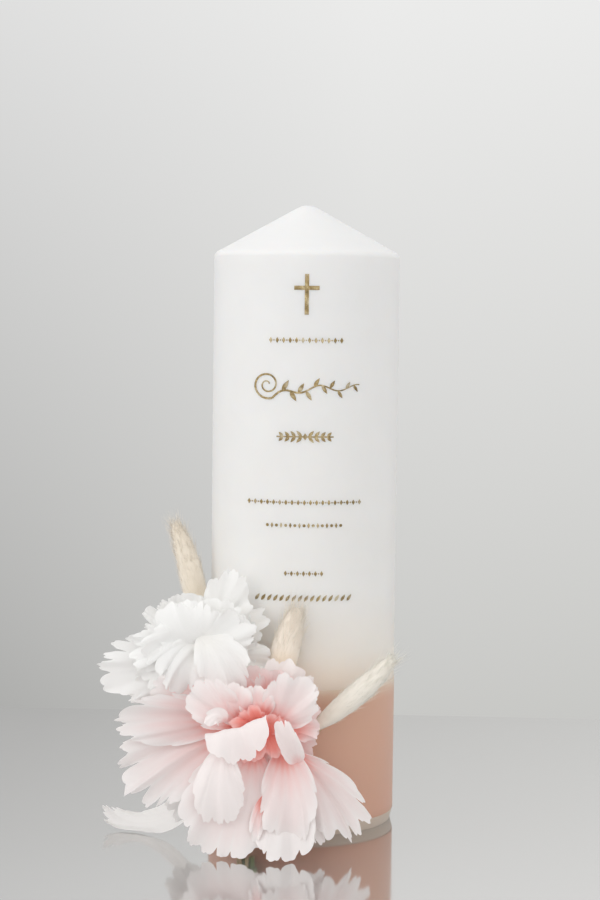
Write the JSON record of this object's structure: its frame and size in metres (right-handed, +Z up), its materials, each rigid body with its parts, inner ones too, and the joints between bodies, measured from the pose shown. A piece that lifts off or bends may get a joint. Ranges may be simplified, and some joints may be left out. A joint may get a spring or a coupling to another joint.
{
  "type": "decorated pillar candle",
  "caption": "White cone-topped pillar candle with a blush band round its foot, gold foil ornaments and a pinned silk flower spray with dried bunny tails.",
  "frame": {"origin": "centre of the candle's foot, on the surface it stands on", "axes": "+Z up along the candle's axis; the foil ornaments face -Y; +X is to the right seen from in front"},
  "size_m": [0.1162, 0.111, 0.2322],
  "materials": {
    "wax": "smooth satin white wax, slightly translucent",
    "wick_cotton": "braided cotton",
    "sustainer_steel": "tinned steel",
    "blush_coat": "satin blush coat",
    "gold_foil": "thin mottled gold foil",
    "pink_silk": "thin stiffened silk, coral at the heart, fading to pale pink with white deckled edges",
    "white_silk": "thin stiffened white silk with deckled edges",
    "stem_plastic": "moulded pale green",
    "dried_grass": "soft dried bunny tail hairs",
    "dried_straw": "dry straw",
    "florist_tape": "crepe paper florist tape",
    "pin_steel": "polished steel wire",
    "pearl": "pearl lacquer"
  },
  "bodies": {
    "candle": {"wax_pillar": "wax", "wick": "wick_cotton", "wick_sustainer": "sustainer_steel", "blush_band": "blush_coat", "cross_foil": "gold_foil", "beads_foil": "gold_foil", "vine_foil": "gold_foil", "sprig_foil": "gold_foil", "garland_foil": "gold_foil", "dots_foil": "gold_foil", "trio_foil": "gold_foil", "chain_foil": "gold_foil"},
    "spray": {"pink_back_petals": "pink_silk", "pink_outer_petals": "pink_silk", "pink_middle_petals": "pink_silk", "pink_inner_petals": "pink_silk", "pink_heart": "pink_silk", "pink_calyx": "stem_plastic", "pink_stem": "stem_plastic", "white_outer_petals": "white_silk", "white_middle_petals": "white_silk", "white_inner_petals": "white_silk", "white_heart": "white_silk", "white_calyx": "stem_plastic", "white_stem": "stem_plastic", "left_tail_head": "dried_grass", "middle_tail_head": "dried_grass", "right_tail_head": "dried_grass", "left_tail_straw": "dried_straw", "middle_tail_straw": "dried_straw", "right_tail_straw": "dried_straw", "stem_tape": "florist_tape", "pin_shanks": "pin_steel", "pin_heads": "pearl"}
  },
  "joints": [
    {"name": "spray_pull_off", "type": "slide", "parent": "candle", "child": "spray", "axis": [-0.5, -0.866, 0], "range_m": [0, 0.06]}
  ]
}
